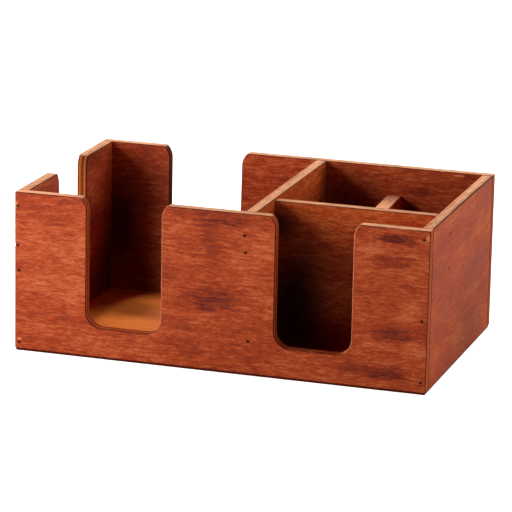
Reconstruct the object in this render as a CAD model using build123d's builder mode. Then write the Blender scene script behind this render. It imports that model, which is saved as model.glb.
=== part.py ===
from build123d import *
import os
from math import sqrt

# Countertop caddy: an open box of stained plywood boards, butt jointed and nailed together.
# The front and back boards cover the ends of the end boards, a thin base sheet is nailed on from
# below, and three dividers make a napkin bay on the left and three smaller bays on the right.
# Origin: middle of the underside. +X to the right along the front, +Y to the back, +Z up.

# Overall size
length = 330.0
depth = 201.0
height = 126.8

# Boards
ply = 8.5
base_thickness = 2.2
base_inset = 0.8  # the base sheet stops this short of the outer faces
arris = 0.8  # sanded edge of every board
base_arris = 0.4

# Finger cutouts: U-shaped, round at the foot, opening out in a lip at the top
cutout_width = 61.0
cutout_floor = 24.4  # height of the cutout's foot above the table
cutout_corner = 13.0
lip_radius = 13.0
lip_rise = 10.0
cutout_spacing = 151.5  # between the middles of the two front cutouts
end_cutout_y = 3.0  # the left end's cutout sits this far behind the middle

# Dividers
cross_divider_x = 23.25
front_bay = 45.75  # clear depth between the front board and the long divider
long_divider_drop = 1.6  # how far its top is below the walls' top
short_divider_ply = 11.4  # cut from a thicker sheet than the rest
short_divider_x = 84.9  # middle of its back end
short_divider_skew = 5.5  # its front end stands this much further right
short_divider_drop = 23.4

# Brads, and how they are driven
shank_radius = 0.7
head_radius = 1.0
head_thickness = 0.6
point_length = 2.0
brad_length = 25.0
base_brad_length = 16.0
brad_set = 1.2  # how deep the heads are punched below the face
base_brad_set = 0.3
hole_clearance = 0.05

# Where the brads sit along each joint, as shares of its length
left_corner_shares = (0.054, 0.509, 0.666, 0.912)
right_corner_shares = (0.075, 0.452, 0.944)
cross_joint_shares = (0.216, 0.760, 0.866)
long_joint_shares = (0.194, 0.663, 0.882)
back_left_shares = (0.075, 0.380, 0.640, 0.930)
back_right_shares = (0.090, 0.490, 0.925)
back_cross_shares = (0.180, 0.560, 0.890)
back_short_shares = (0.170, 0.640)
base_long_shares = (-0.41, -0.25, -0.08, 0.10, 0.26, 0.40)
base_short_shares = (-0.30, 0.02, 0.31)

# How far each brad strays from the middle of the board behind it
left_corner_strays = (-0.4, -0.6, -1.8, -1.8)
right_corner_strays = (0.2, -0.3, -0.7)
cross_joint_strays = (1.8, -1.3, -2.2)
long_joint_strays = (2.2, 1.5, 1.0)
back_left_strays = (0.6, -0.8, 1.1, 0.3)
back_right_strays = (-0.9, 0.4, 1.2)
back_cross_strays = (0.7, -1.2, 0.2)
back_short_strays = (-0.6, 0.9)
cross_long_strays = (-0.9, 0.4, 1.2)

# Places worked out from the sizes above
wall_height = height - base_thickness
inner_depth = depth - 2 * ply
end_middle_x = (length - ply) / 2
end_middle_y = (depth - ply) / 2
long_divider_y = -depth / 2 + ply + front_bay + ply / 2
right_bay_left = cross_divider_x + ply / 2
right_bay_right = length / 2 - ply
short_divider_front = long_divider_y + ply / 2
short_divider_back = depth / 2 - ply
short_divider_front_x = short_divider_x + short_divider_skew
lip_run = lip_radius - sqrt(lip_radius**2 - lip_rise**2)

# Outer faces, each seen from outside: local x to the right, local y up, normal outwards
front_face = Plane(origin=(0, -depth / 2, 0), x_dir=(1, 0, 0), z_dir=(0, -1, 0))
back_face = Plane(origin=(0, depth / 2, 0), x_dir=(-1, 0, 0), z_dir=(0, 1, 0))
left_face = Plane(origin=(-length / 2, 0, 0), x_dir=(0, -1, 0), z_dir=(-1, 0, 0))
right_face = Plane(origin=(length / 2, 0, 0), x_dir=(0, 1, 0), z_dir=(1, 0, 0))
cross_face = Plane(origin=(cross_divider_x - ply / 2, 0, 0), x_dir=(0, -1, 0), z_dir=(-1, 0, 0))
long_face = Plane(origin=(0, long_divider_y - ply / 2, 0), x_dir=(1, 0, 0), z_dir=(0, -1, 0))
underside = Plane(origin=(0, 0, 0), x_dir=(1, 0, 0), z_dir=(0, 0, -1))

os.makedirs("parts", exist_ok=True)


def upright_joint(face, middle, shares, strays):
    """Brad places up a face, in front of the middle of the board behind it."""
    points = [(middle + stray, share * height) for share, stray in zip(shares, strays)]
    return [Plane(face.from_local_coords((x, y, 0)), face.x_dir, face.z_dir) for x, y in points]


def base_joint(start, end, shares):
    """Brad places on the underside, along a line from one point to another."""
    middle = (Vector(*start) + Vector(*end)) / 2
    run = Vector(*end) - Vector(*start)
    points = [middle + run * share for share in shares]
    return [Plane(point, underside.x_dir, underside.z_dir) for point in points]


def save(piece, name):
    """Label a finished piece and write it as its own file."""
    piece.part.label = name
    export_step(piece.part, f"parts/{name}.step")


# Brad places, joint by joint
front_left = upright_joint(front_face, -end_middle_x, left_corner_shares, left_corner_strays)
front_right = upright_joint(front_face, end_middle_x, right_corner_shares, right_corner_strays)
front_cross = upright_joint(front_face, cross_divider_x, cross_joint_shares, cross_joint_strays)
back_left = upright_joint(back_face, end_middle_x, back_left_shares, back_left_strays)
back_right = upright_joint(back_face, -end_middle_x, back_right_shares, back_right_strays)
back_cross = upright_joint(back_face, -cross_divider_x, back_cross_shares, back_cross_strays)
back_short = upright_joint(back_face, -short_divider_x, back_short_shares, back_short_strays)
right_long = upright_joint(right_face, long_divider_y, long_joint_shares, long_joint_strays)
cross_long = upright_joint(cross_face, -long_divider_y, long_joint_shares, cross_long_strays)

base_front = base_joint((-length / 2, -end_middle_y), (length / 2, -end_middle_y), base_long_shares)
base_back = base_joint((-length / 2, end_middle_y), (length / 2, end_middle_y), base_long_shares)
base_left = base_joint((-end_middle_x, -depth / 2), (-end_middle_x, depth / 2), base_short_shares)
base_right = base_joint((end_middle_x, -depth / 2), (end_middle_x, depth / 2), base_short_shares)
base_cross = base_joint((cross_divider_x, -depth / 2), (cross_divider_x, depth / 2), base_short_shares)
base_long = base_joint((right_bay_left, long_divider_y), (right_bay_right, long_divider_y), base_short_shares)
base_short = base_joint(
    (short_divider_front_x, short_divider_front), (short_divider_x, short_divider_back), base_short_shares
)
base_places = base_front + base_back + base_left + base_right + base_cross + base_long + base_short


def head_holes(places):
    """Holes for brads driven through this board, wide enough for the sunk heads at the face."""
    with Locations(*places):
        CounterBoreHole(
            radius=shank_radius + hole_clearance,
            counter_bore_radius=head_radius + hole_clearance,
            counter_bore_depth=brad_set + head_thickness,
            depth=ply,
        )


def shank_holes(places, reach):
    """Holes for the shanks that come into this board from the one nailed to it."""
    with Locations(*places):
        Hole(radius=shank_radius + hole_clearance, depth=reach + hole_clearance)


def eased_edges(piece):
    """Every edge of a board that stands clear of the base sheet."""
    return piece.edges().filter_by(lambda edge: edge.center().Z > base_thickness + arris / 2)


brad_reach = brad_set + brad_length
base_brad_reach = base_brad_set + base_brad_length

# Finger cutout: local x across it, local y up from the table
with BuildSketch() as cutout:
    with BuildLine() as outline:
        half = cutout_width / 2
        foot = Line((0, cutout_floor), (half - cutout_corner, cutout_floor))
        corner = RadiusArc(foot @ 1, (half, cutout_floor + cutout_corner), -cutout_corner)
        side = Line(corner @ 1, (half, height - lip_rise))
        lip = RadiusArc(side @ 1, (half + lip_run, height), lip_radius)
        top = Line(lip @ 1, (0, height))
        mirror(about=Plane.YZ)
    make_face()

# Front board, with two cutouts
with BuildPart() as front_panel:
    with BuildSketch(front_face):
        with Locations((0, base_thickness)):
            Rectangle(length, wall_height, align=(Align.CENTER, Align.MIN))
        with Locations((-cutout_spacing / 2, 0), (cutout_spacing / 2, 0)):
            add(cutout.sketch, mode=Mode.SUBTRACT)
    extrude(amount=-ply)
    chamfer(eased_edges(front_panel), arris)
    head_holes(front_left + front_right + front_cross)
    shank_holes(base_front, base_brad_reach)
save(front_panel, "front_panel")

# Back board, with one cutout behind the napkin bay
with BuildPart() as back_panel:
    with BuildSketch(back_face):
        with Locations((0, base_thickness)):
            Rectangle(length, wall_height, align=(Align.CENTER, Align.MIN))
        with Locations((cutout_spacing / 2, 0)):
            add(cutout.sketch, mode=Mode.SUBTRACT)
    extrude(amount=-ply)
    chamfer(eased_edges(back_panel), arris)
    head_holes(back_left + back_right + back_cross + back_short)
    shank_holes(base_back, base_brad_reach)
save(back_panel, "back_panel")

# Left end board, between front and back, with one cutout
with BuildPart() as left_end_panel:
    with BuildSketch(left_face):
        with Locations((0, base_thickness)):
            Rectangle(inner_depth, wall_height, align=(Align.CENTER, Align.MIN))
        with Locations((-end_cutout_y, 0)):
            add(cutout.sketch, mode=Mode.SUBTRACT)
    extrude(amount=-ply)
    chamfer(eased_edges(left_end_panel), arris)
    shank_holes(front_left + back_left, brad_reach)
    shank_holes(base_left, base_brad_reach)
save(left_end_panel, "left_end_panel")

# Right end board, plain
with BuildPart() as right_end_panel:
    with BuildSketch(right_face):
        with Locations((0, base_thickness)):
            Rectangle(inner_depth, wall_height, align=(Align.CENTER, Align.MIN))
    extrude(amount=-ply)
    chamfer(eased_edges(right_end_panel), arris)
    head_holes(right_long)
    shank_holes(front_right + back_right, brad_reach)
    shank_holes(base_right, base_brad_reach)
save(right_end_panel, "right_end_panel")

# Cross divider, front to back at full height
with BuildPart() as cross_divider:
    with BuildSketch(cross_face):
        with Locations((0, base_thickness)):
            Rectangle(inner_depth, wall_height, align=(Align.CENTER, Align.MIN))
    extrude(amount=-ply)
    chamfer(eased_edges(cross_divider), arris)
    head_holes(cross_long)
    shank_holes(front_cross + back_cross, brad_reach)
    shank_holes(base_cross, base_brad_reach)
save(cross_divider, "cross_divider")

# Long divider, from the cross divider to the right end
with BuildPart() as long_divider:
    with BuildSketch(long_face):
        with Locations(((right_bay_left + right_bay_right) / 2, base_thickness)):
            Rectangle(
                right_bay_right - right_bay_left,
                wall_height - long_divider_drop,
                align=(Align.CENTER, Align.MIN),
            )
    extrude(amount=-ply)
    chamfer(eased_edges(long_divider), arris)
    shank_holes(cross_long + right_long, brad_reach)
    shank_holes(base_long, base_brad_reach)
save(long_divider, "long_divider")

# Short divider, from the long divider to the back, thicker and lower than the rest, and set askew
with BuildPart() as short_divider:
    with BuildSketch(Plane.XY.offset(base_thickness)):
        with BuildLine() as plan:
            front_end = Line(
                (short_divider_front_x - short_divider_ply / 2, short_divider_front),
                (short_divider_front_x + short_divider_ply / 2, short_divider_front),
            )
            back_end = Line(
                (short_divider_x + short_divider_ply / 2, short_divider_back),
                (short_divider_x - short_divider_ply / 2, short_divider_back),
            )
            Line(front_end @ 1, back_end @ 0)
            Line(back_end @ 1, front_end @ 0)
        make_face()
    extrude(amount=wall_height - short_divider_drop)
    chamfer(eased_edges(short_divider), arris)
    shank_holes(back_short, brad_reach)
    shank_holes(base_short, base_brad_reach)
save(short_divider, "short_divider")

# Base sheet, nailed up into the boards from below
with BuildPart() as base_panel:
    with BuildSketch(underside):
        Rectangle(length - 2 * base_inset, depth - 2 * base_inset)
    extrude(amount=-base_thickness)
    chamfer(base_panel.edges().group_by(Axis.Z)[0], base_arris)
    with Locations(*base_places):
        CounterBoreHole(
            radius=shank_radius + hole_clearance,
            counter_bore_radius=head_radius + hole_clearance,
            counter_bore_depth=base_brad_set + head_thickness,
            depth=base_thickness,
        )
save(base_panel, "base_panel")


def brad(reach, sunk):
    """One round-headed brad driven down from the origin, its head sunk below it."""
    with BuildPart() as nail:
        with BuildSketch(Plane.XZ):
            with BuildLine():
                Polyline(
                    (0, -sunk),
                    (head_radius, -sunk),
                    (head_radius, -sunk - head_thickness),
                    (shank_radius, -sunk - head_thickness),
                    (shank_radius, point_length - reach),
                    (0, -reach),
                    close=True,
                )
            make_face()
        revolve(axis=Axis.Z)
    return nail.part


wall_brad = brad(brad_reach, brad_set)
base_brad = brad(base_brad_reach, base_brad_set)

# One group of brads for each joint
joints = {
    "nails_front_to_left_end": (front_left, wall_brad),
    "nails_front_to_right_end": (front_right, wall_brad),
    "nails_front_to_cross_divider": (front_cross, wall_brad),
    "nails_back_to_left_end": (back_left, wall_brad),
    "nails_back_to_right_end": (back_right, wall_brad),
    "nails_back_to_cross_divider": (back_cross, wall_brad),
    "nails_back_to_short_divider": (back_short, wall_brad),
    "nails_right_end_to_long_divider": (right_long, wall_brad),
    "nails_cross_divider_to_long_divider": (cross_long, wall_brad),
    "nails_base_to_front": (base_front, base_brad),
    "nails_base_to_back": (base_back, base_brad),
    "nails_base_to_left_end": (base_left, base_brad),
    "nails_base_to_right_end": (base_right, base_brad),
    "nails_base_to_cross_divider": (base_cross, base_brad),
    "nails_base_to_long_divider": (base_long, base_brad),
    "nails_base_to_short_divider": (base_short, base_brad),
}
for joint_name, (places, nail) in joints.items():
    with BuildPart() as nails:
        with Locations(*places):
            add(nail)
    save(nails, joint_name)
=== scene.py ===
from math import cos, radians, sin

import bpy
from mathutils import Matrix, Vector


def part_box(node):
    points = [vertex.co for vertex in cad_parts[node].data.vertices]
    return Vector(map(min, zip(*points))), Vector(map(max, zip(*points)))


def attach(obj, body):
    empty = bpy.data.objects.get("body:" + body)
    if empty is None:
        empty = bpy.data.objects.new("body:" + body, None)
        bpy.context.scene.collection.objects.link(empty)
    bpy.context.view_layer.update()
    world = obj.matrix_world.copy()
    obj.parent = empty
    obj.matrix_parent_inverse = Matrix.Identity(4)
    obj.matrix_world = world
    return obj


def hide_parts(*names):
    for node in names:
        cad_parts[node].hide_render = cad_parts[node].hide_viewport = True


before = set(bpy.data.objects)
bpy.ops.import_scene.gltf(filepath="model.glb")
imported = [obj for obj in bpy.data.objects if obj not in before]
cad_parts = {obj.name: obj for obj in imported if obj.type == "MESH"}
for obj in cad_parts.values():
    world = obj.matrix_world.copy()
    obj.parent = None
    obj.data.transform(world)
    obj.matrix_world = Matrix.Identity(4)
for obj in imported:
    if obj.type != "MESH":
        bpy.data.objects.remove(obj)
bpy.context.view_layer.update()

# The view. The caddy is seen from far off through a long lens, from the front right and a
# little above, with the camera leaning slightly to one side.
mm = 0.001
view_turn = radians(17.52)
view_lift = radians(14.75)
view_lean = radians(1.15)
view_distance = 2.4964
view_aim = Vector((-1.7, 0.5, 66.95)) * mm
backwards = Vector((sin(view_turn) * cos(view_lift), -cos(view_turn) * cos(view_lift), sin(view_lift)))
bpy.ops.object.camera_add(location=view_aim + backwards * view_distance)
camera = bpy.context.object
looking = backwards.to_track_quat("Z", "Y").to_matrix()
camera.rotation_euler = (looking @ Matrix.Rotation(view_lean, 3, "Z")).to_euler()
camera.data.lens = 223.13
camera.data.sensor_width = 36.0
camera.data.clip_end = 50.0
bpy.context.scene.camera = camera


# The studio. A soft box and a spot stand at the front left, a second spot high at the left, a
# broad panel behind and a white card at the right. Floor and backdrop are white.
def soft_box(name, turn, lift, distance, size, power):
    """A round area lamp aimed at the caddy from a bearing and a height."""
    towards = Vector((sin(turn) * cos(lift), -cos(turn) * cos(lift), sin(lift)))
    bpy.ops.object.light_add(type="AREA", location=view_aim + towards * distance)
    lamp = bpy.context.object
    lamp.name = name
    lamp.rotation_euler = towards.to_track_quat("Z", "Y").to_euler()
    lamp.data.shape = "DISK"
    lamp.data.size = size
    lamp.data.energy = power


soft_box("key_soft_box", radians(-47.0), radians(11.0), 1.1, 0.5, 9.2)
soft_box("key_spot", radians(-44.0), radians(27.0), 1.4, 0.24, 6.0)
soft_box("left_spot", radians(-106.0), radians(35.5), 1.4, 0.24, 7.0)
soft_box("back_panel_light", radians(172.0), radians(38.0), 2.0, 1.4, 37.0)
soft_box("right_card", radians(86.0), radians(5.0), 1.5, 0.9, 15.5)

world = bpy.data.worlds.new("studio")
bpy.context.scene.world = world
world.use_nodes = True
sky = world.node_tree
sky.nodes.clear()


def add_node(tree, kind, inputs=None, **settings):
    """A shader node with its settings and its inputs, each a value or a socket to link."""
    made = tree.nodes.new("ShaderNode" + kind)
    for setting, value in settings.items():
        setattr(made, setting, value)
    for socket, value in (inputs or {}).items():
        if isinstance(value, bpy.types.NodeSocket):
            tree.links.new(value, made.inputs[socket])
        else:
            made.inputs[socket].default_value = value
    return made


def calc(tree, operation, first, second=0.0, third=0.0, clamp=False):
    """The result of one step of arithmetic on values or sockets."""
    inputs = {0: first, 1: second, 2: third}
    return add_node(tree, "Math", inputs, operation=operation, use_clamp=clamp).outputs[0]


glossy_share = 0.1  # how much of the white shows in a gloss


def seen_directly(tree):
    """1 for what the camera sees, less for what shows in a gloss, 0 for light that falls on things."""
    path = add_node(tree, "LightPath").outputs
    straight = calc(tree, "MAXIMUM", path["Is Camera Ray"], path["Is Transmission Ray"])
    return calc(tree, "MAXIMUM", straight, calc(tree, "MULTIPLY", path["Is Glossy Ray"], glossy_share))


ambient = 0.01
from_below = 0.8  # reaches the underside alone, because the floor stops it everywhere else
horizon = -0.02
bearing = add_node(sky, "SeparateXYZ", {0: add_node(sky, "TexCoord").outputs["Generated"]}).outputs
downwards = calc(sky, "LESS_THAN", bearing["Z"], horizon)
unseen = calc(sky, "MULTIPLY_ADD", downwards, from_below - ambient, ambient)
unseen = calc(sky, "MULTIPLY", calc(sky, "SUBTRACT", 1.0, seen_directly(sky)), unseen)
sky_strength = calc(sky, "ADD", seen_directly(sky), unseen)
white = (1.0, 1.0, 1.0, 1.0)
sky_light = add_node(sky, "Background", {"Color": white, "Strength": sky_strength})
sky_output = sky.nodes.new("ShaderNodeOutputWorld")
sky.links.new(sky_light.outputs[0], sky_output.inputs["Surface"])

floor_size = 60.0
floor_height = 0.05 * mm  # the underside stays just clear of it, so it can be seen from below
bpy.ops.mesh.primitive_plane_add(size=floor_size, location=(0.0, 0.0, floor_height))
floor = bpy.context.object
floor.name = "studio_floor"
floor_paint = bpy.data.materials.new("studio_white")
floor_paint.use_nodes = True
paint_tree = floor_paint.node_tree
paint_tree.nodes.clear()
floor_grey = 0.80
floor_glow = 0.80
matt = add_node(paint_tree, "BsdfDiffuse", {"Color": (floor_grey, floor_grey, floor_grey, 1.0)})
glow_strength = calc(paint_tree, "MULTIPLY", seen_directly(paint_tree), floor_glow)
glow = add_node(paint_tree, "Emission", {"Color": white, "Strength": glow_strength})
both = add_node(paint_tree, "AddShader", {0: matt.outputs[0], 1: glow.outputs[0]})

# seen from below, the floor is clear
underneath = add_node(paint_tree, "NewGeometry").outputs["Backfacing"]
see_through = paint_tree.nodes.new("ShaderNodeBsdfTransparent")
one_sided = add_node(paint_tree, "MixShader", {0: underneath, 1: both.outputs[0], 2: see_through.outputs[0]})
paint_output = paint_tree.nodes.new("ShaderNodeOutputMaterial")
paint_tree.links.new(one_sided.outputs[0], paint_output.inputs["Surface"])
floor.data.materials.append(floor_paint)

bpy.context.scene.view_settings.view_transform = "Standard"


# Stained plywood, shared by all the boards. Rotary-cut veneer takes red-brown stain unevenly:
# broad figure, wavy streaks and short dark pores on the faces, bare plies and glue on the edges.
def paint(code):
    """A colour as written on a screen, such as B05A30, turned into light."""
    channels = [int(code[i : i + 2], 16) / 255.0 for i in (0, 2, 4)]
    linear = [c / 12.92 if c <= 0.04045 else ((c + 0.055) / 1.055) ** 2.4 for c in channels]
    return (*linear, 1.0)


def new_group(name, inputs, outputs):
    """An empty shader node group with named sockets."""
    group = bpy.data.node_groups.new(name, "ShaderNodeTree")
    kinds = {"value": "NodeSocketFloat", "colour": "NodeSocketColor", "vector": "NodeSocketVector"}
    for title, kind in inputs.items():
        group.interface.new_socket(title, in_out="INPUT", socket_type=kinds[kind])
    for title, kind in outputs.items():
        group.interface.new_socket(title, in_out="OUTPUT", socket_type=kinds[kind])
    return group, group.nodes.new("NodeGroupInput"), group.nodes.new("NodeGroupOutput")


def stretched_noise(tree, point, seed, along, across, detail=3.0, roughness=0.55, distortion=0.0):
    """Noise drawn out along the grain: along and across are its repeats per metre."""
    scaled = add_node(tree, "VectorMath", {0: point, 1: (along, across, across)}, operation="MULTIPLY")
    moved = add_node(tree, "VectorMath", {0: scaled.outputs[0], 1: seed}, operation="ADD")
    inputs = {"Vector": moved.outputs[0], "Scale": 1.0}
    inputs.update({"Detail": detail, "Roughness": roughness, "Distortion": distortion})
    return add_node(tree, "TexNoise", inputs, noise_dimensions="3D").outputs[0]


def between(tree, value, low, high, smooth=True):
    """0 below low, 1 above high, and smooth in between."""
    kind = "SMOOTHSTEP" if smooth else "LINEAR"
    inputs = {"Value": value, "From Min": low, "From Max": high, "To Min": 0.0, "To Max": 1.0}
    return add_node(tree, "MapRange", inputs, interpolation_type=kind, clamp=True).outputs[0]


# the marks on a face, each from 0 to 1 about a middle of 0.5
veneer, veneer_in, veneer_out = new_group(
    "stained_veneer",
    {"Point": "vector", "Seed": "value"},
    {"Figure": "value", "Streaks": "value", "Fibres": "value", "Pores": "value", "Blotches": "value"},
)
third_seed = 3.7
seed_value = veneer_in.outputs["Seed"]
grain_seed = add_node(veneer, "CombineXYZ", {0: seed_value, 1: seed_value, 2: third_seed}).outputs[0]
straight_point = veneer_in.outputs["Point"]

# the grain wanders in slow bends and small ripples
wander_width = 14.0 * mm
ripple_width = 2.4 * mm
wander = stretched_noise(veneer, straight_point, grain_seed, along=9.0, across=14.0, detail=2.0)
wander_shift = calc(veneer, "MULTIPLY", calc(veneer, "SUBTRACT", wander, 0.5), wander_width)
ripple = stretched_noise(veneer, straight_point, grain_seed, along=70.0, across=90.0, detail=2.0)
ripple_shift = calc(veneer, "MULTIPLY", calc(veneer, "SUBTRACT", ripple, 0.5), ripple_width)
shift = add_node(veneer, "CombineXYZ", {1: calc(veneer, "ADD", wander_shift, ripple_shift)})
bent = add_node(veneer, "VectorMath", {0: straight_point, 1: shift.outputs[0]}, operation="ADD")
wavy = bent.outputs[0]

# broad figure, ringed like the peeled log
ring_count = 46.0
ring_depth = 0.10
broad = stretched_noise(veneer, wavy, grain_seed, along=9.0, across=70.0, distortion=0.2)
rings = calc(veneer, "SINE", calc(veneer, "MULTIPLY", broad, ring_count))
figure = calc(veneer, "MULTIPLY_ADD", rings, ring_depth, broad)
veneer.links.new(figure, veneer_out.inputs["Figure"])

# streaks, fibres and pores, finer and finer, and the blotches where the stain lay unevenly
streaks = stretched_noise(veneer, wavy, grain_seed, along=80.0, across=420.0, detail=4.0, roughness=0.68)
veneer.links.new(streaks, veneer_out.inputs["Streaks"])
fibres = stretched_noise(veneer, wavy, grain_seed, along=240.0, across=1400.0, roughness=0.75)
veneer.links.new(fibres, veneer_out.inputs["Fibres"])
pore_noise = stretched_noise(veneer, wavy, grain_seed, along=240.0, across=1100.0, detail=1.0)
veneer.links.new(between(veneer, pore_noise, 0.62, 0.74), veneer_out.inputs["Pores"])
blotches = stretched_noise(
    veneer, straight_point, grain_seed, along=20.0, across=34.0, detail=5.0, roughness=0.62
)
veneer.links.new(blotches, veneer_out.inputs["Blotches"])

# the layers of a board from its middle outwards: cross plies, glue lines, face and eased edge
edge_group, edge_in, edge_out = new_group(
    "plywood_edge",
    {"Thickness": "value", "Half": "value", "Arris": "value", "Inner Glue": "value", "Outer Glue": "value"},
    {"Edge": "value", "Arris": "value", "Glue": "value", "Cross Plies": "value"},
)
from_middle = calc(edge_group, "ABSOLUTE", edge_in.outputs["Thickness"])
from_face = calc(edge_group, "SUBTRACT", edge_in.outputs["Half"], from_middle)
eased = calc(edge_group, "DIVIDE", from_face, edge_in.outputs["Arris"])
edge_group.links.new(between(edge_group, eased, 0.25, 0.75), edge_out.inputs["Edge"])
arris_start = between(edge_group, eased, 0.02, 0.12)
arris_end = calc(edge_group, "SUBTRACT", 1.0, between(edge_group, eased, 0.55, 0.95))
edge_group.links.new(calc(edge_group, "MULTIPLY", arris_start, arris_end), edge_out.inputs["Arris"])
share = calc(edge_group, "DIVIDE", from_middle, edge_in.outputs["Half"])
past_inner = calc(edge_group, "SUBTRACT", share, edge_in.outputs["Inner Glue"])
past_outer = calc(edge_group, "SUBTRACT", share, edge_in.outputs["Outer Glue"])
to_inner = calc(edge_group, "ABSOLUTE", past_inner)
to_outer = calc(edge_group, "ABSOLUTE", past_outer)
nearest = calc(edge_group, "MINIMUM", to_inner, to_outer)
glue_line = calc(edge_group, "SUBTRACT", 1.0, between(edge_group, nearest, 0.02, 0.06))
edge_group.links.new(glue_line, edge_out.inputs["Glue"])
cross_start = between(edge_group, past_inner, -0.02, 0.02)
cross_end = calc(edge_group, "SUBTRACT", 1.0, between(edge_group, past_outer, -0.02, 0.02))
edge_group.links.new(calc(edge_group, "MULTIPLY", cross_start, cross_end), edge_out.inputs["Cross Plies"])


def blend_colours(tree, amount, first, second, mode="MIX"):
    """Two colours mixed by an amount."""
    mixed = add_node(tree, "Mix", data_type="RGBA", blend_type=mode)
    for socket, value in ((0, amount), (6, first), (7, second)):
        if isinstance(value, bpy.types.NodeSocket):
            tree.links.new(value, mixed.inputs[socket])
        else:
            mixed.inputs[socket].default_value = value
    return mixed.outputs[2]


def patch_distance(tree, where, middle, half):
    """How far a point is from the middle of a patch: 1 on the patch's rim."""
    offset = add_node(tree, "VectorMath", {0: where, 1: middle}, operation="SUBTRACT")
    squeezed = add_node(tree, "VectorMath", {0: offset.outputs[0], 1: half}, operation="DIVIDE")
    return add_node(tree, "VectorMath", {0: squeezed.outputs[0]}, operation="LENGTH").outputs["Value"]


spot_raggedness = 0.8
ramp_stops = {"dark": 0.22, "middle": 0.5, "light": 0.9}


def stained_face(tree, where, masks, looks, spots):
    """The colour of a face: the stain lies dark in the open grain and pale on the hard streaks."""
    tone = 0.5
    for mask in ("Figure", "Streaks", "Blotches", "Fibres"):
        swing = calc(tree, "SUBTRACT", masks[mask], 0.5)
        tone = calc(tree, "MULTIPLY_ADD", swing, looks[mask], tone)
    uneven = calc(tree, "ADD", masks["Streaks"], masks["Blotches"])
    for middle, half, change in spots:
        distance = patch_distance(tree, where, middle, half)
        ragged = calc(tree, "MULTIPLY_ADD", uneven, spot_raggedness, distance)
        cover = calc(tree, "SUBTRACT", 1.0, between(tree, ragged, 1.1, 1.9))
        tone = calc(tree, "MULTIPLY_ADD", cover, change, tone)
    stain = add_node(tree, "ValToRGB", {0: tone})
    stops = stain.color_ramp.elements
    stops[0].position = 0.0
    stops[0].color = paint(looks["darkest"])
    stops.new(ramp_stops["dark"]).color = paint(looks["dark"])
    stops.new(ramp_stops["middle"]).color = paint(looks["middle"])
    stops[-1].position = ramp_stops["light"]
    stops[-1].color = paint(looks["light"])
    pores = calc(tree, "MULTIPLY", masks["Pores"], looks["Pores"])
    face = blend_colours(tree, pores, stain.outputs[0], paint(looks["dark"]))
    # the board's tint: a colour correction, and on the cross, long and short dividers painted light that
    # lifts faces the lamps leave dim
    return blend_colours(tree, 1.0, face, (*looks["tint and painted light"], 1.0), "MULTIPLY")


x_axis, y_axis, z_axis = 0, 1, 2
top_start, top_full = 3.0 * mm, 1.0 * mm  # below a board's top
end_start, end_full = 2.0 * mm, 1.0 * mm  # in from a board's end
end_difference = 0.8  # how far a board's ends differ from its other cut edges
# near black, for the painted shade and for the stain halos round the front brads
shade_and_halo_colour = "120402"
varnish_roughness = 0.40
varnish_index = 1.48
raised_grain = 0.1 * mm


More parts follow.
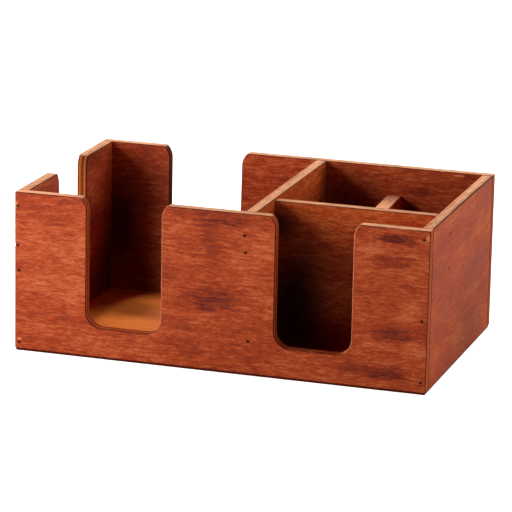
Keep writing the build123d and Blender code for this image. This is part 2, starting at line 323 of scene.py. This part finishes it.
def plywood(name, seed, low, high, grain, across, thick, looks, glue, arris, spots=(), painted_shade_and_halos=(), skew=0.0):
    """Stained plywood for one board, its grain along one axis and its plies across another."""
    material = bpy.data.materials.new(name)
    material.use_nodes = True
    tree = material.node_tree
    tree.nodes.clear()
    where = add_node(tree, "TexCoord").outputs["Object"]
    half = (high - low) / 2
    centred = add_node(tree, "VectorMath", {0: where, 1: (low + high) / 2}, operation="SUBTRACT")
    split = add_node(tree, "SeparateXYZ", {0: centred.outputs[0]}).outputs
    through = calc(tree, "MULTIPLY_ADD", split[grain], skew, split[thick])
    point = add_node(tree, "CombineXYZ", {0: split[grain], 1: split[across], 2: through})
    normal = add_node(tree, "NewGeometry").outputs["Normal"]

    masks = tree.nodes.new("ShaderNodeGroup")
    masks.node_tree = veneer
    tree.links.new(point.outputs[0], masks.inputs["Point"])
    masks.inputs["Seed"].default_value = seed
    masks = masks.outputs
    layers = tree.nodes.new("ShaderNodeGroup")
    layers.node_tree = edge_group
    tree.links.new(through, layers.inputs["Thickness"])
    layer_sizes = {"Half": half[thick], "Arris": arris, "Inner Glue": glue[0], "Outer Glue": glue[1]}
    for title, value in layer_sizes.items():
        layers.inputs[title].default_value = value
    layers = layers.outputs
    streak = calc(tree, "SUBTRACT", masks["Streaks"], 0.5)
    blotch = calc(tree, "SUBTRACT", masks["Blotches"], 0.5)

    # top edge: pale, partly rubbed and partly painted light from above on the upward faces
    turned = add_node(tree, "SeparateXYZ", {0: normal}).outputs
    height = add_node(tree, "SeparateXYZ", {0: where}).outputs["Z"]
    near_top = between(tree, height, high.z - top_start, high.z - top_full)
    rubbed_and_lit_top = calc(tree, "MULTIPLY", between(tree, turned["Z"], 0.6, 0.95), near_top)
    end_on = between(tree, calc(tree, "ABSOLUTE", turned[grain]), 0.45, 0.8)
    unlike = calc(tree, "ABSOLUTE", calc(tree, "SUBTRACT", end_on, layers["Cross Plies"]))
    top_tone = calc(tree, "MULTIPLY_ADD", streak, looks["edge streaks"], 0.1)
    top_tone = calc(tree, "MULTIPLY_ADD", unlike, looks["end grain"], top_tone)
    top_tone = calc(tree, "MULTIPLY_ADD", blotch, 1.2, top_tone, clamp=True)
    worn_and_lit_top_edge = blend_colours(tree, top_tone, paint(looks["edge"]), paint(looks["edge dark"]))

    # other cut edges: the plies that show their ends soak up the stain
    side_tone = calc(tree, "MULTIPLY_ADD", streak, 0.7, 0.1)
    side_tone = calc(tree, "MULTIPLY_ADD", unlike, 0.85, side_tone, clamp=True)
    side_edge = blend_colours(tree, side_tone, paint(looks["side"]), paint(looks["side dark"]))
    from_middle = calc(tree, "ABSOLUTE", split[grain])
    at_end = between(tree, from_middle, half[grain] - end_start, half[grain] - end_full)
    at_end = calc(tree, "MULTIPLY", at_end, end_difference)
    side_edge = blend_colours(tree, at_end, side_edge, paint(looks["board end"]))
    edge = blend_colours(tree, rubbed_and_lit_top, side_edge, worn_and_lit_top_edge)
    glue_strength = calc(tree, "MULTIPLY_ADD", rubbed_and_lit_top, -0.5, looks["glue"])
    glue_line = calc(tree, "MULTIPLY", layers["Glue"], glue_strength)
    edge = blend_colours(tree, glue_line, edge, paint(looks["arris"]))
    face = stained_face(tree, where, masks, looks, spots)
    colour = blend_colours(tree, layers["Edge"], face, edge)

    # arris: a dark line of gathered stain, also painted shade where the arris turns from the lamps; pale in
    # streaks, and as a painted highlight where it turns towards them
    towards = {0: normal, 1: looks["stain and shade side"]}
    leaning = add_node(tree, "VectorMath", towards, operation="DOT_PRODUCT").outputs["Value"]
    along = {0: where, 1: looks["arris darkening slope"]}
    placed = add_node(tree, "VectorMath", along, operation="DOT_PRODUCT").outputs["Value"]
    arris_darkness = calc(tree, "MULTIPLY_ADD", streak, 2.2, calc(tree, "ADD", leaning, placed))
    dark_arris = between(tree, arris_darkness, 0.05, 0.35)
    arris_colour = blend_colours(tree, dark_arris, paint(looks["arris pale and highlight"]), paint(looks["arris"]))
    arris_cover = calc(tree, "MULTIPLY", layers["Arris"], looks["arris line"])
    colour = blend_colours(tree, arris_cover, colour, arris_colour)

    # painted shade: a soft darkening towards near black where shade falls deep in the bays, in cast shadows
    # and on arrises turned from the lamps; on the front board the same patches are the darker stain round
    # each brad
    for middle, size, depth in painted_shade_and_halos:
        distance = patch_distance(tree, where, middle, size)
        clear = between(tree, distance, 0.1, 1.0)
        cover = calc(tree, "MULTIPLY", calc(tree, "SUBTRACT", 1.0, clear), depth)
        colour = blend_colours(tree, cover, colour, paint(shade_and_halo_colour))

    # varnish: thin and satin, duller over pores and bare edges
    shine = calc(tree, "MULTIPLY_ADD", masks["Blotches"], 0.2, varnish_roughness)
    shine = calc(tree, "MULTIPLY_ADD", masks["Pores"], 0.15, shine)
    shine = calc(tree, "MULTIPLY_ADD", layers["Edge"], 0.4, shine, clamp=True)
    relief = calc(tree, "MULTIPLY_ADD", masks["Pores"], -0.6, masks["Fibres"])
    relief = calc(tree, "MULTIPLY_ADD", masks["Streaks"], 0.6, relief)
    bump = add_node(tree, "Bump", {"Strength": 0.3, "Distance": raised_grain, "Height": relief})
    surface = {"Base Color": colour, "Roughness": shine, "Normal": bump.outputs[0]}
    finish = add_node(tree, "BsdfPrincipled", surface)
    finish.inputs["IOR"].default_value = varnish_index
    finish.inputs["Specular IOR Level"].default_value = looks["sheen"]
    output = tree.nodes.new("ShaderNodeOutputMaterial")
    tree.links.new(finish.outputs[0], output.inputs["Surface"])
    return material


# Front board: 9 mm plywood sanded to 8.5, its grain along the caddy, with two finger slots sawn
# in from the top. It covers the ends of the end boards and is nailed to them and to the divider.
def activate(piece):
    """Makes a piece the only one selected, and the one that is worked on."""
    bpy.ops.object.select_all(action="DESELECT")
    piece.select_set(True)
    bpy.context.view_layer.objects.active = piece


def sawn_block(name, low, high):
    """A plain block between two corners."""
    bpy.ops.object.select_all(action="DESELECT")
    bpy.ops.mesh.primitive_cube_add(size=1.0, location=(low + high) / 2)
    block = bpy.context.object
    block.name = name
    block.data.name = name
    block.scale = high - low
    bpy.ops.object.transform_apply(location=True, rotation=True, scale=True)
    return block


def pick(piece, kind, wanted):
    """Goes into edit mode with only the edges or faces selected whose corners pass a test."""
    activate(piece)
    bpy.ops.object.mode_set(mode="EDIT")
    bpy.ops.mesh.select_mode(type=kind)
    bpy.ops.mesh.select_all(action="DESELECT")
    bpy.ops.object.mode_set(mode="OBJECT")
    corners = piece.data.vertices
    for part in piece.data.edges if kind == "EDGE" else piece.data.polygons:
        part.select = wanted([corners[i].co for i in part.vertices])
    bpy.ops.object.mode_set(mode="EDIT")


def cut_with(board, cutter):
    """Takes a cutter's shape out of a board."""
    saw = board.modifiers.new("saw", "BOOLEAN")
    saw.operation = "DIFFERENCE"
    saw.solver = "EXACT"
    saw.object = cutter
    activate(board)
    bpy.ops.object.modifier_apply(modifier=saw.name)
    bpy.data.objects.remove(cutter)


hair = 0.01 * mm  # near enough to be the same place
slot_width = 61.0 * mm
slot_foot = 24.4 * mm  # height of a slot's foot above the table
slot_corner = 13.0 * mm
lip_radius = 13.0 * mm
lip_rise = 10.0 * mm
curve_steps = 12
saw_clearance = 5.0 * mm  # how far a cutter stands out of the board
lean_slack = 0.5 * mm  # a leaning side ends this close to its stated place


def saw_slot(board, middle, run, thick, top, lean=0.0):
    """A U-shaped finger slot, round at the foot, its far side leaning out at the top."""
    low, high = Vector(board.bound_box[0]), Vector(board.bound_box[6])
    low[thick] -= saw_clearance
    high[thick] += saw_clearance
    low[run] = middle - slot_width / 2
    high[run] = middle + slot_width / 2
    low.z = slot_foot
    high.z += saw_clearance
    cutter = sawn_block("slot_cutter", low, high)

    def is_foot_corner(ends):
        return all(p.z < slot_foot + hair for p in ends) and abs(ends[0][run] - ends[1][run]) < hair

    pick(cutter, "EDGE", is_foot_corner)
    bpy.ops.mesh.bevel(offset=slot_corner, segments=curve_steps, affect="EDGES")
    bpy.ops.object.mode_set(mode="OBJECT")
    pick(cutter, "FACE", lambda ends: all(p.z > high.z - hair for p in ends))
    wider = [1.0, 1.0, 1.0]
    wider[run] = 1.0 + lean / slot_width
    bpy.ops.transform.resize(value=wider, center_override=low)
    bpy.ops.object.mode_set(mode="OBJECT")
    cut_with(board, cutter)

    def is_lip(ends):
        level = abs(ends[0][run] - ends[1][run]) < hair
        at_near_side = abs(ends[0][run] - low[run]) < hair
        at_far_side = abs(ends[0][run] - high[run] - lean) < lean_slack
        return level and (at_near_side or at_far_side) and all(p.z > top + hair for p in ends)

    pick(board, "EDGE", is_lip)
    bpy.ops.mesh.bevel(offset=lip_radius, segments=curve_steps, affect="EDGES", clamp_overlap=False)
    bpy.ops.object.mode_set(mode="OBJECT")


def plane_off(board, point, normal):
    """Planes away what stands on the far side of a plane, and closes the cut."""
    activate(board)
    bpy.ops.object.mode_set(mode="EDIT")
    bpy.ops.mesh.select_all(action="SELECT")
    bpy.ops.mesh.bisect(plane_co=point, plane_no=normal, clear_outer=True, use_fill=True)
    bpy.ops.object.mode_set(mode="OBJECT")


sharp_from = radians(32)
sanding_steps = 3
weld = 0.002 * mm  # corners closer than this are made one


def ease_edges(board, width, foot):
    """Sands every sharp edge round, but for those that stand on the base sheet."""
    activate(board)
    bpy.ops.object.mode_set(mode="EDIT")
    bpy.ops.mesh.select_mode(type="EDGE")
    bpy.ops.mesh.select_all(action="DESELECT")
    bpy.ops.mesh.edges_select_sharp(sharpness=sharp_from)
    bpy.ops.object.mode_set(mode="OBJECT")
    corners = board.data.vertices
    for face in board.data.polygons:
        face.select = False
    for edge in board.data.edges:
        if all(corners[i].co.z < foot + hair for i in edge.vertices):
            edge.select = False
    bpy.ops.object.mode_set(mode="EDIT")
    bpy.ops.mesh.bevel(offset=width, segments=sanding_steps, affect="EDGES", clamp_overlap=True)
    bpy.ops.mesh.select_all(action="SELECT")
    bpy.ops.mesh.remove_doubles(threshold=weld)
    bpy.ops.object.mode_set(mode="OBJECT")


ply_margin = 0.12 * mm
ply_wear = 0.08 * mm
share_slack = 0.01  # of half the thickness, as is the next
narrowest_share = 0.1


def part_plies(board, low, high, thick, glue):
    """Marks the glue lines round a board's edge and wears its cross plies down by a hair."""
    middle = (low + high) / 2
    half = (high[thick] - low[thick]) / 2
    normal = Vector((0.0, 0.0, 0.0))
    normal[thick] = 1.0
    activate(board)
    bpy.ops.object.mode_set(mode="EDIT")
    for share in (-glue[1], -glue[0], glue[0], glue[1]):
        bpy.ops.mesh.select_all(action="SELECT")
        bpy.ops.mesh.bisect(plane_co=middle + normal * share * half, plane_no=normal)
    bpy.ops.object.mode_set(mode="OBJECT")

    def in_cross_ply(ends):
        shares = [abs(p[thick] - middle[thick]) / half for p in ends]
        between_glue = all(glue[0] - share_slack < share < glue[1] + share_slack for share in shares)
        sides = {p[thick] > middle[thick] for p in ends}
        return between_glue and len(sides) == 1 and max(shares) - min(shares) > narrowest_share

    pick(board, "FACE", in_cross_ply)
    bpy.ops.mesh.inset(thickness=ply_margin, depth=-ply_wear, use_boundary=True, use_even_offset=True)
    bpy.ops.object.mode_set(mode="OBJECT")


brad_gap = 2.5 * mm  # brads in one row are further apart than this


def brads_in(node, row):
    """The lowest and highest corners of each brad in a joint, told apart by the gaps between."""
    points = sorted((v.co.copy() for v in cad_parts[node].data.vertices), key=lambda p: p[row])
    groups = [[points[0]]]
    for point in points[1:]:
        if point[row] - groups[-1][-1][row] > brad_gap:
            groups.append([])
        groups[-1].append(point)
    corners = []
    for group in groups:
        lowest = Vector(min(p[i] for p in group) for i in range(3))
        highest = Vector(max(p[i] for p in group) for i in range(3))
        corners.append((lowest, highest))
    return corners


head_thickness = 0.6 * mm
head_hole = 1.05 * mm  # radius, as is the next
shank_hole = 0.75 * mm
drill_clearance = 4.0 * mm
drill_sides = 20
drill_turns = ((0.0, radians(90), 0.0), (radians(90), 0.0, 0.0), (0.0, 0.0, 0.0))


def drill(board, node, row, along, head_side):
    """Sinks the holes of one joint's brads, wide at the punched heads and narrow at the shanks."""
    for radius, inside, outside in ((head_hole, head_thickness, drill_clearance), (shank_hole, None, 0.0)):
        cutters = []
        for low, high in brads_in(node, row):
            axis = (low + high) / 2
            head, tip = (low[along], high[along]) if head_side < 0 else (high[along], low[along])
            start = head + head_side * outside
            end = tip if inside is None else head - head_side * inside
            axis[along] = (start + end) / 2
            bpy.ops.mesh.primitive_cylinder_add(
                vertices=drill_sides,
                radius=radius,
                depth=abs(end - start),
                location=axis,
                rotation=drill_turns[along],
            )
            cutters.append(bpy.context.object)
        bpy.ops.object.select_all(action="DESELECT")
        for cutter in cutters:
            cutter.select_set(True)
        bpy.context.view_layer.objects.active = cutters[0]
        bpy.ops.object.join()
        cut_with(board, cutters[0])


def chip(board, place, size):
    """Knocks a small rounded chip out of a board."""
    bpy.ops.object.select_all(action="DESELECT")
    bpy.ops.mesh.primitive_ico_sphere_add(subdivisions=2, radius=1.0, location=Vector(place) * mm)
    cutter = bpy.context.object
    cutter.scale = Vector(size) * mm
    bpy.ops.object.transform_apply(location=True, rotation=True, scale=True)
    cut_with(board, cutter)


def patches(*rows):
    """Places on a board: middle and half size in mm, and how strongly each differs."""
    return [(Vector(middle) * mm, Vector(half) * mm, change) for middle, half, change in rows]


smooth_below = radians(28)


def finish_board(board, material, node):
    """Shades a finished board, gives it its finish and puts it in the frame."""
    activate(board)
    board.data.materials.clear()
    board.data.materials.append(material)
    bpy.ops.object.shade_smooth_by_angle(angle=smooth_below)
    even = board.modifiers.new("even", "WEIGHTED_NORMAL")
    even.keep_sharp = True
    bpy.ops.object.modifier_apply(modifier=even.name)
    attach(board, "root")
    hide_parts(node)


arris_width = 0.8 * mm
five_plies = (0.247, 0.694)  # the glue lines of a five-ply board, as shares of half its thickness
lip_extra = lip_radius - lip_rise
slot_spacing = 151.5 * mm

front_low, front_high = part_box("front_panel")
front = sawn_block("front_board", front_low, front_high + Vector((0.0, 0.0, lip_extra)))
for side in (-1, 1):
    saw_slot(front, side * slot_spacing / 2, x_axis, y_axis, front_high.z)
plane_off(front, (0.0, 0.0, front_high.z), (0.0, 0.0, 1.0))
ease_edges(front, arris_width, front_low.z)
part_plies(front, front_low, front_high, y_axis, five_plies)
front_joints = ("nails_front_to_left_end", "nails_front_to_right_end", "nails_front_to_cross_divider")
for joint in front_joints:
    drill(front, joint, row=z_axis, along=y_axis, head_side=-1)

# chips round the first slot's foot, on the left corner and along the top: place and half size
for place, size in (
    ((-65.8, -100.9, 24.9), (1.9, 1.0, 1.0)),
    ((-60.5, -100.9, 24.6), (1.2, 0.8, 0.6)),
    ((-165.3, -100.5, 84.5), (1.2, 2.2, 1.5)),
    ((-32.0, -100.9, 127.1), (1.8, 0.9, 0.8)),
    ((16.0, -100.9, 127.1), (2.6, 0.9, 0.7)),
):
    chip(front, place, size)

# a splinter that has lifted at the corner of the middle post
bpy.ops.object.select_all(action="DESELECT")
bpy.ops.mesh.primitive_cone_add(
    vertices=6,
    radius1=0.4 * mm,
    radius2=0.06 * mm,
    depth=3.0 * mm,
    location=Vector((-41.6, -99.6, 126.1)) * mm,
    rotation=(0.0, radians(-80), 0.0),
)
splinter = bpy.context.object
activate(front)
splinter.select_set(True)
bpy.ops.object.join()

front_looks = {
    "darkest": "541A10",
    "dark": "792E17",
    "middle": "A03D18",
    "light": "C86E3A",
    "edge": "F6B084",
    "edge dark": "86402A",
    "arris": "45120A",
    "arris pale and highlight": "DC9064",
    "side": "CE5A22",
    "side dark": "561506",
    "board end": "A85434",
    "tint and painted light": (1.0, 1.03, 1.35),
    "Figure": 0.4,
    "Streaks": 0.9,
    "Blotches": 0.55,
    "Fibres": 1.1,
    "Pores": 0.35,
    "edge streaks": 1.4,
    "end grain": 0.15,
    "glue": 0.7,
    "arris line": 0.95,
    # arrises turned this way are painted dark, partly as shade; those turned the other way are painted pale
    # as a highlight
    "stain and shade side": (0.9, -0.6, 0.35),
    "arris darkening slope": (-1.5, 0.0, 0.0),
    "sheen": 0.06,
}

# the stain drew in darker round each brad
halo_size = Vector((1.9, 6.0, 1.7)) * mm
halo_depth = 0.75
front_shades = []
for joint in front_joints:
    for low, high in brads_in(joint, z_axis):
        brad = (low + high) / 2
        front_shades.append((Vector((brad.x, front_low.y, brad.z)), halo_size, halo_depth))

# raw wood at the corners and by two brads, then clouds of darker and paler stain
front_spots = patches(
    ((-163.6, -100.5, 116.5), (1.6, 4, 2.4), 0.8),
    ((-161, -100.5, 9.5), (2.2, 4, 1.4), 0.6),
    ((163.2, -100.5, 121), (1.8, 4, 2.2), 0.8),
    ((-65.8, -100.5, 24.6), (2.6, 4, 0.9), 0.8),
    ((-2, -100.5, 58), (28, 4, 13), -0.22),
    ((-5, -100.5, 98), (13, 4, 26), -0.18),
    ((0, -100.5, 122), (56, 4, 9), -0.22),
    ((0, -100.5, 41), (40, 4, 7), 0.08),
    ((-32, -100.5, 110), (14, 4, 8), 0.06),
    ((36, -100.5, 98), (16, 4, 10), 0.07),
    ((24, -100.5, 13), (14, 4, 5), -0.10),
    ((-34, -100.5, 38), (16, 4, 6), -0.06),
    ((-40, -100.5, 74), (8, 4, 12), -0.08),
    ((139, -100.5, 118), (20, 4, 5), -0.5),
    ((137, -100.5, 101), (20, 4, 7), -0.26),
    ((148, -100.5, 83), (9, 4, 2.5), -0.3),
    ((138, -100.5, 44), (20, 4, 6), -0.22),
    ((124, -100.5, 14), (34, 4, 7), -0.34),
    ((150, -100.5, 62), (15, 4, 12), 0.18),
    ((120, -100.5, 108), (12, 4, 4), 0.16),
    ((155, -100.5, 32), (10, 4, 8), 0.16),
    ((-114, -100.5, 42), (10, 4, 16), 0.12),
)
front_finish = plywood(
    "front_plywood",
    seed=11.3,
    low=front_low,
    high=front_high,
    grain=x_axis,
    across=z_axis,
    thick=y_axis,
    looks=front_looks,
    glue=five_plies,
    arris=arris_width,
    spots=front_spots,
    painted_shade_and_halos=front_shades,
)
finish_board(front, front_finish, "front_panel")

# Back board: cut from the same plywood as the front, with one finger slot behind the napkin bay.
# One side of its slot was sawn leaning. It is nailed to both ends and to two dividers.
back_slot_lean = 1.1 * mm

back_low, back_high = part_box("back_panel")
back = sawn_block("back_board", back_low, back_high + Vector((0.0, 0.0, lip_extra)))
saw_slot(back, -slot_spacing / 2, x_axis, y_axis, back_high.z, back_slot_lean)
plane_off(back, (0.0, 0.0, back_high.z), (0.0, 0.0, 1.0))
ease_edges(back, arris_width, back_low.z)
part_plies(back, back_low, back_high, y_axis, five_plies)
for joint in (
    "nails_back_to_left_end",
    "nails_back_to_right_end",
    "nails_back_to_cross_divider",
    "nails_back_to_short_divider",
):
    drill(back, joint, row=z_axis, along=y_axis, head_side=1)
back_looks = dict(front_looks)
back_looks.update({"side": "7A3418", "side dark": "3A1208"})
back_spots = patches(
    ((137.5, 92, 124.2), (5, 3, 1.1), 0.9),
    ((109.7, 92, 119.4), (3, 3, 0.9), 0.6),
    ((60, 92, 112), (24, 3, 5), 0.1),
    ((105, 92, 108), (18, 3, 5), -0.2),
)
# painted shade: the dark deep in the napkin bay and the rear bays, and the shadow beside the short divider
back_painted_shade = patches(
    ((-150, 92, 60), (40, 8, 75), 0.9),
    ((-120, 92, 20), (60, 8, 55), 0.6),
    ((-112, 92, 85), (34, 8, 55), 0.4),
    ((45, 92, 95), (42, 8, 34), 0.55),
    ((99, 92, 90), (11, 8, 14), 0.85),
)
back_finish = plywood(
    "back_plywood",
    seed=27.9,
    low=back_low,
    high=back_high,
    grain=x_axis,
    across=z_axis,
    thick=y_axis,
    looks=back_looks,
    glue=five_plies,
    arris=arris_width,
    spots=back_spots,
    painted_shade_and_halos=back_painted_shade,
)
finish_board(back, back_finish, "back_panel")

# Left end board: stands between the front and the back board with its grain running across the
# caddy, and has one finger slot in its middle.
left_slot_middle = 3.0 * mm

left_low, left_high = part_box("left_end_panel")
left = sawn_block("left_end_board", left_low, left_high + Vector((0.0, 0.0, lip_extra)))
saw_slot(left, left_slot_middle, y_axis, x_axis, left_high.z)
plane_off(left, (0.0, 0.0, left_high.z), (0.0, 0.0, 1.0))
ease_edges(left, arris_width, left_low.z)
part_plies(left, left_low, left_high, x_axis, five_plies)
left_looks = dict(front_looks)
left_looks.update({"side": "AE5C2A", "side dark": "6E2E12"})
# painted shade on the inner face of the left end, deep in the napkin bay and just under its top
left_painted_shade = patches(
    ((-156.5, 92, 40), (8, 40, 80), 0.65),
    ((-156.5, 40, 128), (8, 60, 26), 0.35),
    ((-156.5, 72, 18), (8, 60, 48), 0.65),
)
left_finish = plywood(
    "left_end_plywood",
    seed=41.2,
    low=left_low,
    high=left_high,
    grain=y_axis,
    across=z_axis,
    thick=x_axis,
    looks=left_looks,
    glue=five_plies,
    arris=arris_width,
    painted_shade_and_halos=left_painted_shade,
)
finish_board(left, left_finish, "left_end_panel")

# Right end board: the one plain wall, also between the front and the back board. Three brads
# through it hold the end of the long divider. Its top outer edge is chipped in four places.
right_low, right_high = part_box("right_end_panel")
right = sawn_block("right_end_board", right_low, right_high)
ease_edges(right, arris_width, right_low.z)
part_plies(right, right_low, right_high, x_axis, five_plies)
drill(right, "nails_right_end_to_long_divider", row=z_axis, along=x_axis, head_side=1)
for along, length in ((-72.0, 7.0), (-38.0, 12.0), (22.0, 9.0), (66.0, 11.0)):
    chip(right, (165.1, along, 126.9), (0.9, length, 0.9))
right_looks = dict(front_looks)
right_looks.update({
    "Figure": 0.35,
    "Streaks": 0.5,
    "Blotches": 0.6,
    "Fibres": 0.4,
    "Pores": 0.15,
    "sheen": 0.04,
    "tint and painted light": (0.98, 1.04, 1.15),
})
# painted shade: the face darker towards the bottom, and a dark line along the outer top arris, which is
# turned from the key lamps
right_painted_shade = patches(
    ((165, 20, 0), (20, 90, 95), 0.3),
    ((165, 0, 127), (2.4, 260, 1.8), 0.8),
)
right_finish = plywood(
    "right_end_plywood",
    seed=58.6,
    low=right_low,
    high=right_high,
    grain=y_axis,
    across=z_axis,
    thick=x_axis,
    looks=right_looks,
    glue=five_plies,
    arris=arris_width,
    painted_shade_and_halos=right_painted_shade,
)
finish_board(right, right_finish, "right_end_panel")

# Cross divider: a full-height plywood board that closes the napkin bay. It is nailed through the
# front and the back board, and brads through it hold the left end of the long divider.
cross_low, cross_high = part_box("cross_divider")
cross_board = sawn_block("cross_divider_board", cross_low, cross_high)
ease_edges(cross_board, arris_width, cross_low.z)
part_plies(cross_board, cross_low, cross_high, x_axis, five_plies)
drill(
    cross_board,
    "nails_cross_divider_to_long_divider",
    row=z_axis,
    along=x_axis,
    head_side=-1,
)
cross_looks = dict(front_looks)
# painted light: the tint lifts this board's faces, whose right face the lamps leave dim
cross_looks["tint and painted light"] = (1.2, 1.3, 1.1)
# painted shade: the shadow the long divider casts on the right face, and the dark rear corner
cross_painted_shade = patches(
    ((27, -46, 93), (6, 31, 22), 0.9),
    ((27, 4, 77), (6, 46, 22), 0.9),
    ((27, 92, 105), (6, 26, 40), 0.6),
)
cross_finish = plywood(
    "cross_divider_plywood",
    seed=73.1,
    low=cross_low,
    high=cross_high,
    grain=y_axis,
    across=z_axis,
    thick=x_axis,
    looks=cross_looks,
    glue=five_plies,
    arris=arris_width,
    painted_shade_and_halos=cross_painted_shade,
)
finish_board(cross_board, cross_finish, "cross_divider")

# Long divider: plywood, runs from the cross divider to the right end board a hair lower than the
# walls, nailed through both. The upper corner at its right end is worn away.
worn_corner = 2.2 * mm

long_low, long_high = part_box("long_divider")
long_board = sawn_block("long_divider_board", long_low, long_high)
corner_x, corner_z = long_high.x - hair, long_high.z - hair
pick(long_board, "EDGE", lambda ends: all(p.x > corner_x and p.z > corner_z for p in ends))
bpy.ops.mesh.bevel(offset=worn_corner, segments=1, affect="EDGES")
bpy.ops.object.mode_set(mode="OBJECT")
ease_edges(long_board, arris_width, long_low.z)
part_plies(long_board, long_low, long_high, y_axis, five_plies)
long_looks = dict(front_looks)
# painted light: the tint lifts this board above the front board's colour, where the lamps leave it dim
long_looks["tint and painted light"] = (1.2, 1.15, 1.1)
# painted shade: the shadow deep on the front face, below and left of the cross divider's shadow line
long_painted_shade = patches(
    ((45, -46, 50), (42, 8, 82), 0.93),
    ((30, -46, 107), (24, 8, 20), 0.85),
    ((54, -46, 15), (60, 8, 50), 0.2),
)
long_finish = plywood(
    "long_divider_plywood",
    seed=88.4,
    low=long_low,
    high=long_high,
    grain=x_axis,
    across=z_axis,
    thick=y_axis,
    looks=long_looks,
    glue=five_plies,
    arris=arris_width,
    painted_shade_and_halos=long_painted_shade,
)
finish_board(long_board, long_finish, "long_divider")

# Short divider: a lower board out of a thicker sheet, which splits the space behind the long
# divider in two. It was nailed in a little askew, its front end further right than its back end.
short_ply = 11.4 * mm
short_skew = 5.5 * mm
front_end_depth = 5.0 * mm  # takes in the whole eased front end of the board

short_low, short_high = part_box("short_divider")
short_high.x = short_low.x + short_ply
short_board = sawn_block("short_divider_board", short_low, short_high)
ease_edges(short_board, arris_width, short_low.z)
part_plies(short_board, short_low, short_high, x_axis, five_plies)
pick(short_board, "FACE", lambda ends: all(p.y < short_low.y + front_end_depth for p in ends))
bpy.ops.transform.translate(value=(short_skew, 0.0, 0.0))
bpy.ops.object.mode_set(mode="OBJECT")
half_skew = Vector((short_skew / 2, 0.0, 0.0))
short_looks = dict(front_looks)
# painted light: the pale top colours and the tint make this board's top and right face brighter than the
# lamps light them
short_looks.update({
    "edge": "FFB488",
    "edge dark": "FFA070",
    "glue": 0.45,
    "edge streaks": 0.7,
    "end grain": 0.05,
    "arris pale and highlight": "FFB488",
    "arris line": 0.35,
    "tint and painted light": (1.7, 1.6, 1.2),
})
short_finish = plywood(
    "short_divider_plywood",
    seed=96.8,
    low=short_low + half_skew,
    high=short_high + half_skew,
    grain=y_axis,
    across=z_axis,
    thick=x_axis,
    looks=short_looks,
    glue=five_plies,
    arris=arris_width,
    skew=short_skew / (short_high.y - short_low.y),
)
finish_board(short_board, short_finish, "short_divider")

# Base sheet: thin three-ply sheet nailed up under the walls and dividers, its edge set in a little
# and coloured near black: painted shade along the foot of the walls.
base_arris = 0.4 * mm
base_arris_steps = 2
three_plies = (0.42, 0.999)  # the second line falls on the faces, so only the first one shows

base_low, base_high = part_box("base_panel")
base = sawn_block("base_sheet", base_low, base_high)
pick(base, "EDGE", lambda ends: all(p.z < base_low.z + hair for p in ends))
bpy.ops.mesh.bevel(offset=base_arris, segments=base_arris_steps, affect="EDGES")
bpy.ops.object.mode_set(mode="OBJECT")
for joint, row in (
    ("nails_base_to_front", x_axis),
    ("nails_base_to_back", x_axis),
    ("nails_base_to_left_end", y_axis),
    ("nails_base_to_right_end", y_axis),
    ("nails_base_to_cross_divider", y_axis),
    ("nails_base_to_long_divider", x_axis),
    ("nails_base_to_short_divider", y_axis),
):
    drill(base, joint, row, along=z_axis, head_side=-1)
base_looks = dict(front_looks)
base_looks.update({
    "dark": "B4571C",
    "middle": "D87A34",
    "light": "E89A56",
    # the near-black side and end colours are painted shade on the sheet's edge
    "side": "521608",
    "side dark": "2E0A04",
    "board end": "421006",
    "Figure": 0.3,
    "Streaks": 0.5,
    "Blotches": 0.5,
    "Fibres": 0.4,
    "Pores": 0.1,
    "tint and painted light": (1.25, 1.1, 0.95),
})
# painted shade on the napkin bay's floor, towards its back and its left
base_painted_shade = patches(
    ((-116, 36, 2.2), (40, 40, 1.5), 0.5),
    ((-110, 96, 2.2), (70, 34, 1.5), 0.5),
)
base_finish = plywood(
    "base_plywood",
    seed=104.5,
    low=base_low,
    high=base_high,
    grain=x_axis,
    across=y_axis,
    thick=z_axis,
    looks=base_looks,
    glue=three_plies,
    arris=base_arris,
    painted_shade_and_halos=base_painted_shade,
)
finish_board(base, base_finish, "base_panel")

# Brads: plain round-headed steel nails driven through every joint. They are punched below the wood
# and left bare, so they have dulled and rusted in patches; steel and rust are coloured near black, painted
# shade for the punched holes.
rust_grain = 900.0  # patches to the metre
rust_detail = 3.0
rust_starts, rust_full = 0.45, 0.7
steel_in_painted_shade = "2E241E"
rust_in_painted_shade = "160A05"
smoothest, rust_roughness = 0.3, 0.3
pitting = 0.05 * mm

steel = bpy.data.materials.new("steel_with_painted_shade")
steel.use_nodes = True
steel_tree = steel.node_tree
steel_tree.nodes.clear()
steel_place = add_node(steel_tree, "TexCoord").outputs["Object"]
rust = stretched_noise(steel_tree, steel_place, (0.0, 0.0, 0.0), rust_grain, rust_grain, rust_detail)
rusted = between(steel_tree, rust, rust_starts, rust_full)
steel_colour = blend_colours(steel_tree, rusted, paint(steel_in_painted_shade), paint(rust_in_painted_shade))
steel_roughness = calc(steel_tree, "MULTIPLY_ADD", rust, rust_roughness, smoothest)
steel_bump = add_node(steel_tree, "Bump", {"Strength": 0.3, "Distance": pitting, "Height": rust})
steel_finish = add_node(
    steel_tree,
    "BsdfPrincipled",
    {
        "Base Color": steel_colour,
        "Metallic": 0.85,
        "Roughness": steel_roughness,
        "Normal": steel_bump.outputs[0],
    },
)
steel_output = steel_tree.nodes.new("ShaderNodeOutputMaterial")
steel_tree.links.new(steel_finish.outputs[0], steel_output.inputs["Surface"])
for name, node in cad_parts.items():
    if name.startswith("nails_"):
        for surface in node.material_slots:
            surface.material = steel
